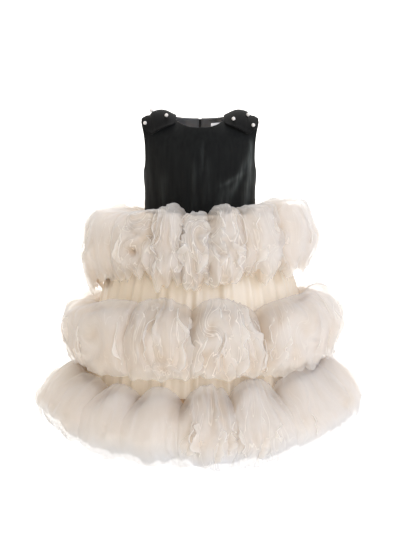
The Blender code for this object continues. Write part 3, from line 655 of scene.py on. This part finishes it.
def turned_by_rosettes(name, turn, down, radius_there, strip_width):
    """The cloth's own place after its rosettes: each turns the cloth about its middle, by an angle that
    fades outward as a bell curve, and presses a dimple in."""
    dimple = 0.0
    for bearing, share, radius, depth, angle in ROSETTES[name]:
        over = (turn - np.radians(bearing) + np.pi) % (2 * np.pi) - np.pi
        u, w = over * radius_there, down - share * strip_width
        far = np.hypot(u, w) / radius
        swing = angle * np.exp(-far ** 2)
        turn = turn + (u * np.cos(swing) - w * np.sin(swing) - u) / radius_there
        down = down + u * np.sin(swing) + w * np.cos(swing) - w
        dimple = dimple - depth * np.exp(-(far / 0.5) ** 2)
    return turn, down, dimple


def puff_plan(bearing, gaps, columns, s, lower_part, even_hem):
    """The strip in plan: each column's own puff and its bearing, how full the puff is there (less than
    1 in a gap) and how near the gap is. At the crown the puffs stand apart in a V, and lower down they
    swell over each other."""
    ahead = (np.roll(bearing, -1) - bearing) % (2 * np.pi) / 2
    phi = (np.arange(columns) / columns * 2 - 1) * np.pi / 2
    phi = np.tile(phi, len(bearing))[None, :]
    own = np.repeat(np.arange(len(bearing)), columns)
    gap = np.where(phi >= 0.0, gaps[own], np.roll(gaps, 1)[own])
    half = np.where(phi >= 0.0, ahead[own], np.roll(ahead, 1)[own])
    parted = gap ** 4 * (1.0 - even_hem)
    swell = (0.24 - 0.16 * even_hem + 0.08 * parted) * lower_part - 0.16 - 0.08 * parted
    turn = bearing[own] + half * (np.sin(phi) + swell * gap * np.sin(2 * phi))
    kept = 1.0 - 0.8 * even_hem * ramp(s, 0.30, 0.25)
    roundness = 0.6 + (0.4 * even_hem + 0.5 * parted) * (1.0 - lower_part)
    lobe = 1.0 - gap * kept * (1.0 - np.cos(phi) ** roundness)
    return own, turn, lobe, gap * (1.0 - np.cos(phi))


def fold_noise(cloth, seed):
    """Ridges of the gather folds, small pleats on them and the puffs' swelling, from noise that is
    drawn out down the strip. The cloth's place wanders first, so that no fold runs straight."""
    wander = WANDER_MOVE * soft_noise(cloth, WANDER_SIZE, seed)[..., None] * np.array([1.0, -1.0, 0.0])
    cloth = cloth + wander
    ridge, pleat = (
        1.0 - np.abs(soft_noise(cloth, size, seed + step)) * RIDGE_SHARPNESS
        for step, size in ((1, RIDGE_SIZE), (2, PLEAT_SIZE))
    )
    # One swelling for all layers, so that none comes through another, and crumples of their own
    billow = soft_noise(cloth - wander, BILLOW_SIZE, BILLOW_SEED)
    billow = billow + 0.4 * soft_noise(cloth, CRUMPLE_SIZE, seed + 8)
    return cloth, ridge, pleat, billow


def ruffle_points(tier, layer):
    """A tier's strip as a closed grid, the painted shade of each point, its place on the flat strip
    and the weight of its folds. Each puff is a round lobe of the strip in plan, wider than its neck,
    carried along the section from the seam to the hem, and the gather folds move it out and in."""
    name, seam, top, hem, half_width, front_depth, back_depth, arch, hem_valley, ragged, section, puffs = tier
    _, reach_share, top_rise, hem_rise, valley_kept, fold_weight, seed, columns, rows = layer
    bearing, reaches, crowns, hems, weights, gaps = np.array(puffs).T
    bearing = np.radians(bearing)
    s = np.linspace(0.0, 1.0, rows)[:, None]
    lower_part = ramp(s, 0.30, 0.45) ** 1.2
    even_hem = (hem_valley - GAPPED_HEM) / (EVEN_HEM - GAPPED_HEM)
    own, turn, lobe, near_gap = puff_plan(bearing, gaps, columns, s, lower_part, even_hem)
    reach, crown_lift, hem_lift, folds = (
        np.interp(turn, bearing, values, period=2 * np.pi) for values in (reaches, crowns, hems, weights)
    )
    reach = 0.5 * reaches[own][None, :] + 0.5 * reach

    # The section: share of the way out from the seam, and height from the hem to the top
    out, up = through(section[:, 0], s), through(section[:, 1], s)
    valley = valley_kept + (hem_valley - valley_kept) * ramp(s, 0.35, 0.65) ** (1.3 - 0.7 * even_hem)
    share = out * reach * reach_share * (valley + (1.0 - valley) * lobe)
    seam_x, seam_y = skirt_ring(turn, seam)
    full_x, full_y = half_ellipses(turn, half_width, front_depth, back_depth)
    x = seam_x * SEAM_STAND_OFF + (full_x - seam_x) * share
    y = seam_y * SEAM_STAND_OFF + (full_y - seam_y) * share
    rim = half_width * points_of(np.sin(turn), np.cos(turn), 0.0)
    tear = soft_noise(rim, TEAR_SIZE, seed + 5) + 0.5 * soft_noise(rim, FINE_TEAR_SIZE, seed + 6)
    low = hem + hem_lift + hem_rise
    z = low + (top + top_rise - low) * up
    z = z + crown_lift * up ** 3 - arch * (1.0 - lobe) ** 1.1 * up ** 2
    z = z + (HEM_GAP_RISE * (1.0 - lobe) + ragged * tear) * (1.0 - up) ** 2
    z = np.where(s <= 0.0, seam, z)

    # The cloth's own place: folds are drawn together at the crown of each puff
    strip_width = STRIP_FULLNESS * (top - hem)
    drawn = CROWN_GATHER + (1.0 - CROWN_GATHER) * ramp(s, 0.0, LET_OUT)
    middle = bearing[own][None, :]
    gathered = middle + (turn - middle) / drawn
    turned, lower, dimple = turned_by_rosettes(name, gathered, s * strip_width, half_width, strip_width)
    cloth = points_of(half_width * np.sin(turned), half_width * np.cos(turned), lower)
    cloth, ridge, pleat, billow = fold_noise(cloth, seed)
    grow = ramp(s, 0.10, 0.35)
    pinch = np.exp(-((s - 0.16) / 0.14) ** 2)
    calm = 1.0 - clamp(near_gap) ** 3
    ridge_out, pleat_out = ridge - RIDGE_LEVEL, pleat - RIDGE_LEVEL
    move = folds * fold_weight * (RIDGE_MOVE * grow * ridge_out + PLEAT_MOVE * pleat_out)
    move = (move + SEAM_PLEAT_MOVE * pinch * pleat_out) * calm
    move = move + BILLOW_MOVE * billow * clamp(out) + dimple
    lift = folds * fold_weight * RIDGE_LIFT * ridge_out * up ** 2 * clamp(out * 3.0) * calm
    radius = np.hypot(x, y)
    points = points_of(x + x / radius * move, y + y / radius * move, z + lift)
    points[0] = points_of(seam_x[0] * SEAM_STAND_OFF, seam_y[0] * SEAM_STAND_OFF, seam)

    # Painted shade lies in the gaps between puffs, the troughs of the folds, the dimples, the seam and the
    # hem
    painted_shade = 1.15 * (1.0 - lobe) ** 1.4 * (1.0 - (0.4 + 0.5 * even_hem) * lower_part)
    painted_shade = painted_shade + np.clip(folds, 0.0, 1.2) * 0.6 * clamp(0.75 - ridge)
    painted_shade = painted_shade - dimple / 12.0 + 0.5 * clamp(0.22 - s) / 0.22
    painted_shade = painted_shade + 0.15 * billow + 0.25 * (1.0 - even_hem) * ramp(s, 0.70, 0.30)
    # Below 0 is the hem of the lowest tier, where fewer layers lie on each other and the net is painted paler
    painted_shade = clamp(painted_shade) - 1.6 * even_hem * ramp(s, 0.62, 0.38) ** 1.5
    return points, np.clip(painted_shade, -1.0, 1.0), cloth, folds * grow * calm


def tulle_material(name, ridge_colour, painted_shade_colour, cover):
    """Soft nylon net in several layers: matt, milky and partly clear, with a warmer painted shade in
    its folds, closer along thin lines where it is doubled, and painted paler there and at the hem."""
    material, tree = new_material(name)
    place = add_node(tree, "TexCoord", output="Object")
    fold = add_node(tree, "Attribute", output="Fac", attribute_name="depth_in_fold")
    weight = add_node(tree, "Attribute", output="Fac", attribute_name="fold_weight")
    strip = add_node(tree, "Attribute", output="Vector", attribute_name="place_on_strip")
    cloud = add_node(tree, "TexNoise", {"Vector": place, "Scale": 30.0, "Detail": 4.0})
    uneven = add_node(tree, "Math", {0: cloud, 1: 0.5}, operation="SUBTRACT")
    # Painted shade: where folds lie low the net takes the shade colour, with a random unevenness
    tone = add_node(tree, "Math", {0: uneven, 1: 0.45, 2: fold},
                    operation="MULTIPLY_ADD", use_clamp=True)
    colour = blend(tree, tone, ridge_colour, painted_shade_colour)
    # Doubled edges: thin lines about 14 mm apart, drawn out down the strip. The net is closer there,
    # and a painted highlight makes it paler.
    drawn_out = (0.07, 0.07, 0.011)
    stretched = add_node(tree, "VectorMath", {0: strip, 1: drawn_out}, operation="MULTIPLY")
    lines = add_node(tree, "TexNoise", {"Vector": stretched, "Scale": 1.0, "Detail": 1.0})
    beside = add_node(tree, "Math", {0: lines, 1: 0.5}, operation="SUBTRACT")
    off = add_node(tree, "Math", {0: beside}, operation="ABSOLUTE")
    line = add_node(tree, "MapRange", {
        "Value": off, "From Min": 0.003, "From Max": 0.016, "To Min": 1.0, "To Max": 0.0,
    })
    shown = add_node(tree, "Math", {0: weight, 1: 2.6}, operation="POWER")
    soft = add_node(tree, "Math", {0: line, 1: 0.36}, operation="MULTIPLY")
    edge = add_node(tree, "Math", {0: soft, 1: shown}, operation="MULTIPLY", use_clamp=True)
    # Painted highlight: the lines turn paler
    paler = blend(tree, edge, colour, "#fdf6ec")
    # Few layers at the hem of the lowest tier: painted light turns the net greyer and whiter there
    thin = add_node(tree, "MapRange", {"Value": fold, "From Min": 0.0, "From Max": -1.0})
    # Hexagonal net, cells 1 mm across, drawn at 3 mm so that it shows as a fine grain
    net = add_node(tree, "TexVoronoi", {"Vector": place, "Scale": 330.0}, "Distance",
                   feature="DISTANCE_TO_EDGE")
    grain = add_node(tree, "Bump", {"Height": net, "Strength": 0.2, "Distance": 0.0008})
    bump = add_node(tree, "Bump", {"Height": edge, "Normal": grain, "Strength": 0.4, "Distance": 0.0015})
    alpha = cover
    if cover < 1.0:
        alpha = add_node(tree, "Math", {0: edge, 1: 0.7 * (1.0 - cover), 2: cover},
                         operation="MULTIPLY_ADD", use_clamp=True)
    finish_material(tree, {
        "Base Color": blend(tree, thin, paler, "#e5e4e3"), "Roughness": 0.9, "Alpha": alpha,
        "Normal": bump, "Specular IOR Level": 0.2, "Sheen Weight": 0.6,
        "Sheen Roughness": 0.5, "Sheen Tint": linear("#ccd6e6"),
    })
    return material


# Each layer: the net's colour, the colour of its painted shade in the folds, how much it covers
tulle = {
    "core": tulle_material("ivory_tulle_inner_layers", "#efe0cd", "#cdab84", 1.0),
    "middle": tulle_material("ivory_tulle_middle_layers", "#f2e9de", "#dbc09c", 0.66),
    "veil": tulle_material("ivory_tulle_outer_layer", "#f6f2ec", "#eadcc8", 0.36),
}


middles = {}
for tier in TIERS:
    for layer in LAYERS:
        grid, painted_shade, place, weight = ruffle_points(tier, layer)
        faces = quads(*grid.shape[:2], closed=True)
        name = "tulle_" + tier[0] + "_" + layer[0]
        piece = make_piece(name, grid.reshape(-1, 3), faces, [tulle[layer[0]]])
        keep_at_points(piece, depth_in_fold=painted_shade, place_on_strip=place, fold_weight=weight)
        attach(piece, "dress")
        if layer[0] == "core":
            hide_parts("tulle_" + tier[0])
        if layer[0] == "middle":
            middles[tier[0]] = grid

# Folded edges: where the gathered net doubles back on itself, its folds stand off the puffs as thin
# wavy frills, which run down from the crowns.
# bearing, share of the strip where it starts and ends, how far it stands off, how far it sways
FRILLS = {
    "tier_1": (
        (-44.0, 0.34, 0.86, 9.0, 5.0), (-40.0, 0.5, 0.95, 8.0, 6.0), (-30.0, 0.3, 0.8, 9.0, 6.0),
        (-25.0, 0.42, 0.98, 9.0, 5.0), (-20.0, 0.3, 0.9, 8.0, 4.0), (-14.0, 0.46, 1.0, 9.0, 6.0),
        (-9.0, 0.3, 0.84, 10.0, 6.0), (-5.0, 0.36, 1.0, 11.0, 7.0), (-1.0, 0.32, 0.9, 10.0, 6.0),
        (3.0, 0.4, 1.0, 11.0, 6.0), (7.0, 0.28, 0.96, 11.0, 7.0), (11.0, 0.34, 0.88, 10.0, 5.0),
        (17.0, 0.3, 1.0, 10.0, 6.0), (23.0, 0.38, 0.86, 8.0, 5.0), (30.0, 0.34, 0.94, 9.0, 6.0),
        (41.0, 0.4, 0.84, 6.0, 4.0)),
    "tier_2": (
        (-60.0, 0.45, 0.92, 5.0, 5.0), (-36.0, 0.4, 0.9, 6.0, 5.0), (-27.0, 0.3, 0.86, 8.0, 4.0),
        (-22.0, 0.28, 0.78, 7.0, 4.0), (-17.0, 0.3, 0.7, 7.0, 4.0), (-12.0, 0.28, 0.94, 9.0, 5.0),
        (-8.0, 0.3, 0.9, 9.0, 5.0), (-3.0, 0.3, 1.0, 11.0, 4.0), (1.0, 0.42, 0.98, 9.0, 6.0),
        (6.0, 0.34, 0.8, 9.0, 5.0), (11.0, 0.32, 0.72, 9.0, 6.0), (15.0, 0.4, 1.0, 11.0, 7.0),
        (20.0, 0.3, 0.92, 10.0, 5.0), (26.0, 0.36, 0.96, 8.0, 4.0), (35.0, 0.34, 0.86, 7.0, 4.0),
        (40.0, 0.44, 0.9, 7.0, 5.0), (60.0, 0.44, 0.88, 5.0, 4.0)),
    "tier_3": (
        (-4.0, 0.5, 0.84, 8.0, 4.0), (1.0, 0.56, 0.8, 8.0, 4.0), (5.0, 0.48, 0.86, 9.0, 5.0),
        (10.0, 0.54, 0.8, 9.0, 5.0), (17.0, 0.46, 0.82, 8.0, 4.0), (22.0, 0.52, 0.86, 8.0, 5.0),
        (27.0, 0.56, 0.84, 7.0, 4.0), (46.0, 0.58, 0.8, 4.0, 3.0)),
}
# The sides and back are not shown: frills like those of the front, about this many degrees apart
HIDDEN_STEP = {"tier_1": 9.0, "tier_2": 11.0, "tier_3": 15.0}
HIDDEN_FROM, HIDDEN_TO = 70.0, 291.0
FRILL_ROWS, FRILL_COLUMNS = 48, 8
# A row of the middle layer at the widest part of its puffs
WIDEST_ROW = 30


def at_grid(grid, row, column):
    """Points of a closed grid at fractional rows and columns."""
    top, left = np.floor(row).astype(int), np.floor(column).astype(int)
    down, over = (row - top)[..., None], (column - left)[..., None]
    below = np.minimum(top + 1, grid.shape[0] - 1)
    left, right = left % grid.shape[1], (left + 1) % grid.shape[1]
    upper = grid[top, left] * (1 - over) + grid[top, right] * over
    lower = grid[below, left] * (1 - over) + grid[below, right] * over
    return upper * (1 - down) + lower * down


def frill_points(grid, frills):
    """All frills of a tier: a path down the strip, and across it the folded net, which rises off the
    puff, leans over to one side and ends in a wavy rolled edge. It fades at both ends."""
    bearing, start, end, stand, sway = (np.array(column)[:, None] for column in zip(*frills))
    number = np.arange(len(bearing))[:, None]
    along = np.linspace(0.0, 1.0, FRILL_ROWS)[None, :]
    phase = number * 2.4
    lean = np.where(number % 3 == 1, -1.0, 1.0)
    wave = np.sin(5.0 * along + phase) + 0.4 * np.sin(11.0 * along + 1.7 * phase)
    ring_x, ring_y, _ = grid[WIDEST_ROW].T
    offset = (bearing - np.degrees(np.arctan2(ring_x, -ring_y))[None, :] + 180.0) % 360.0 - 180.0
    column = np.argmin(np.abs(offset), axis=1)[:, None].astype(float)
    per_column = 2 * np.pi * np.hypot(ring_x, ring_y).mean() / grid.shape[1]
    row = np.clip(start - 0.10 + (end - start + 0.14) * along, 0.05, 1.0) * (grid.shape[0] - 1.001)
    path_column = column + 0.7 * sway * wave / per_column
    base = at_grid(grid, row, path_column)
    over = at_grid(grid, row, path_column + 1.5) - at_grid(grid, row, path_column - 1.5)
    run = np.gradient(base, axis=1)
    out = np.cross(over, run)
    away = base * np.array([1.0, 1.0, 0.35]) - np.array([0.0, 0.0, 0.35]) * grid[..., 2].mean()
    out = unit(out * np.sign(np.sum(out * away, axis=2, keepdims=True)))
    side = unit(np.cross(out, run))
    v = np.linspace(0.0, 1.0, FRILL_COLUMNS)[None, None, :]
    fade = (np.sin(np.pi * along) ** 0.55)[..., None]
    edge = 1.0 + 0.35 * np.sin(19.0 * along + phase)[..., None]
    edge = edge + 0.2 * np.sin(33.0 * along + 2.0 * phase)[..., None]
    roll = ramp(v, 0.8, 0.2)
    reach = 2.0 * stand[..., None] * fade
    height = reach * np.sin(0.58 * np.pi * v) * (0.55 + 0.1 * edge) + 1.4 * roll * fade - 1.0
    width = lean[..., None] * (reach * edge * (v - 0.25 * roll) - 1.2 * roll)
    return base[:, :, None] + out[:, :, None] * height[..., None] + side[:, :, None] * width[..., None]


# The frills' net: its colour, its painted shade colour, how much it covers
frill_tulle = tulle_material("doubled_tulle_fold_edges", "#f6f1ea", "#eaddcd", 0.55)
draw = np.random.default_rng(5).uniform
for name, grid in middles.items():
    hidden = [
        (bearing + draw(-4.0, 4.0), draw(0.3, 0.5), draw(0.7, 0.86), draw(5.0, 9.0), draw(4.0, 6.0))
        for bearing in np.arange(HIDDEN_FROM, HIDDEN_TO, HIDDEN_STEP[name])
    ]
    points = frill_points(grid, (*FRILLS[name], *hidden))
    first = np.arange(len(points))[:, None, None] * FRILL_ROWS * FRILL_COLUMNS
    faces = (quads(FRILL_ROWS, FRILL_COLUMNS)[None] + first).reshape(-1, 4)
    piece = make_piece("tulle_" + name + "_frills", points.reshape(-1, 3), faces, [frill_tulle])
    # Painted shade on the frills, darkest where they rise off the puff
    away = np.broadcast_to(np.linspace(0.0, 1.0, FRILL_COLUMNS), points.shape[:3])
    keep_at_points(piece, depth_in_fold=0.7 * (1.0 - away), place_on_strip=points, fold_weight=0.0 * away)
    width = np.linalg.norm(np.diff(points, axis=2), axis=3).sum(axis=2).mean() * MM
    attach(piece, "dress")

# Shoulder bows: a doubled wing of velvet over each shoulder, gathered at the neck side, with three
# pearls sewn on.
BOW_NECK_SIDE, BOW_ARM_SIDE = 46.0, 112.0
BOW_LIFT, BOW_CLEARANCE = 11.0, 0.3
BOW_FRONT_REACH, BOW_BACK_REACH = 66.0, 48.0
BOW_PLEATS, BOW_PLEAT_DEPTH = 2.5, 1.6
# The fold that divides a bow's wing into an outer and an inner lobe
BOW_FOLD_AT, BOW_FOLD_WIDTH, BOW_FOLD_DEPTH = 96.0, 4.5, 3.2
BOW_EDGE_ROLL = 1.6
PEARL_DIAMETER = 7.0
BALL_ROWS, BALL_COLUMNS = 20, 32
# name, side, distance out, degrees forward of the shoulder seam
PEARLS = (
    ("pearl_left_top", -1.0, 90.0, 8.0), ("pearl_left_inner", -1.0, 61.0, 32.0),
    ("pearl_left_outer", -1.0, 103.0, 40.0), ("pearl_right_top", 1.0, 89.0, 24.0),
    ("pearl_right_inner", 1.0, 61.0, 40.0), ("pearl_right_outer", 1.0, 99.0, 48.0),
)


def bow_face(x, forward, side):
    """The bow's face: the shoulder's surface moved out by the puff of the wing and its pleats."""
    crown = shoulder_height(x)
    z = SHOULDER_ROUND_BELOW + (crown - SHOULDER_ROUND_BELOW) * np.cos(forward)
    half_width, front_depth, back_depth = columns_at(TORSO, z)
    across = np.sqrt(clamp(1.0 - (x / half_width) ** 2))
    y = -np.where(forward >= 0.0, front_depth, back_depth) * across * np.sin(forward)
    out = unit(points_of(np.sign(x) * 0.25, -np.sin(forward), np.cos(forward)))
    share = ramp(np.abs(x), BOW_NECK_SIDE, BOW_ARM_SIDE - BOW_NECK_SIDE)
    puff = BOW_LIFT * np.sin(np.pi * share) ** 0.8 * np.cos(forward * 0.8) ** 2
    pleat = BOW_PLEAT_DEPTH * np.cos(BOW_PLEATS * forward * 2.0 + side) * share
    across = (np.abs(x) - BOW_FOLD_AT + 6.0 * forward) / BOW_FOLD_WIDTH
    fold = BOW_FOLD_DEPTH * np.exp(-across ** 2) * np.cos(forward)
    lift = WALL + BOW_CLEARANCE + np.maximum(puff + pleat - fold, 0.0)
    return points_of(x, y, z) + out * lift[..., None], out


bow_velvet = velvet_material("matt_black_velvet_bow", "#050505", "#0b0b0b", 0.04, 40.0)
for hand, side in (("left", -1.0), ("right", 1.0)):
    share = np.linspace(0.0, 1.0, 60)[None, :]
    spread = 0.55 + 0.45 * np.sqrt(share)
    along = np.linspace(-1.0, 1.0, 80)[:, None]
    reach = np.where(along >= 0.0, BOW_FRONT_REACH, BOW_BACK_REACH)
    # The arm side is rounded off towards both ends, and the cut edges are turned under in a soft roll
    width = (BOW_ARM_SIDE - BOW_NECK_SIDE) * (1.0 - 0.30 * np.abs(along) ** 4)
    forward = np.radians(reach) * along * spread
    x, forward = np.broadcast_arrays(side * (BOW_NECK_SIDE + width * share), forward)
    face, out = bow_face(x, forward, side)
    roll = np.exp(-((1.0 - np.abs(along)) / 0.07) ** 2) + np.exp(-((1.0 - share) / 0.08) ** 2)
    turned_in = BOW_EDGE_ROLL * clamp(roll) * clamp(share * 4.0)
    face = face + out * turned_in[..., None]
    bow = double_cloth("velvet_bow_" + hand, face, -out, WALL, bow_velvet, bow_velvet)
    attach(bow, "dress")
    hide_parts("shoulder_bow_" + hand)

pearl_finish, tree = new_material("pearl_lustre_bead")
place = add_node(tree, "TexCoord", output="Object")
cloud = add_node(tree, "TexNoise", {"Vector": place, "Scale": 240.0})
finish_material(tree, {
    "Base Color": blend(tree, cloud, "#efe9e2", "#dcd9d6"), "Roughness": 0.22,
    "Coat Weight": 0.7, "Coat Roughness": 0.08, "Sheen Weight": 0.2,
})
turn = np.linspace(0.0, 2 * np.pi, BALL_COLUMNS, endpoint=False)[None, :]
lat = np.linspace(0.02, np.pi - 0.02, BALL_ROWS)[:, None]
ball = points_of(np.sin(lat) * np.cos(turn), np.sin(lat) * np.sin(turn), np.cos(lat))
last = BALL_ROWS * BALL_COLUMNS - 1
poles = (tuple(range(BALL_COLUMNS)), tuple(range(last, last - BALL_COLUMNS, -1)))
for name, side, out_x, forward in PEARLS:
    face, out = bow_face(np.array([[side * out_x]]), np.radians(np.array([[forward]])), side)
    centre = (face + out * (PEARL_DIAMETER / 2 + 2 * SEAM_GAP))[0, 0]
    points = (ball * PEARL_DIAMETER / 2 + centre).reshape(-1, 3)
    faces = quads(BALL_ROWS, BALL_COLUMNS, closed=True)
    piece = make_piece(name + "_bead", points, faces, [pearl_finish], caps=poles)
    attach(piece, "dress")
    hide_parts(name)
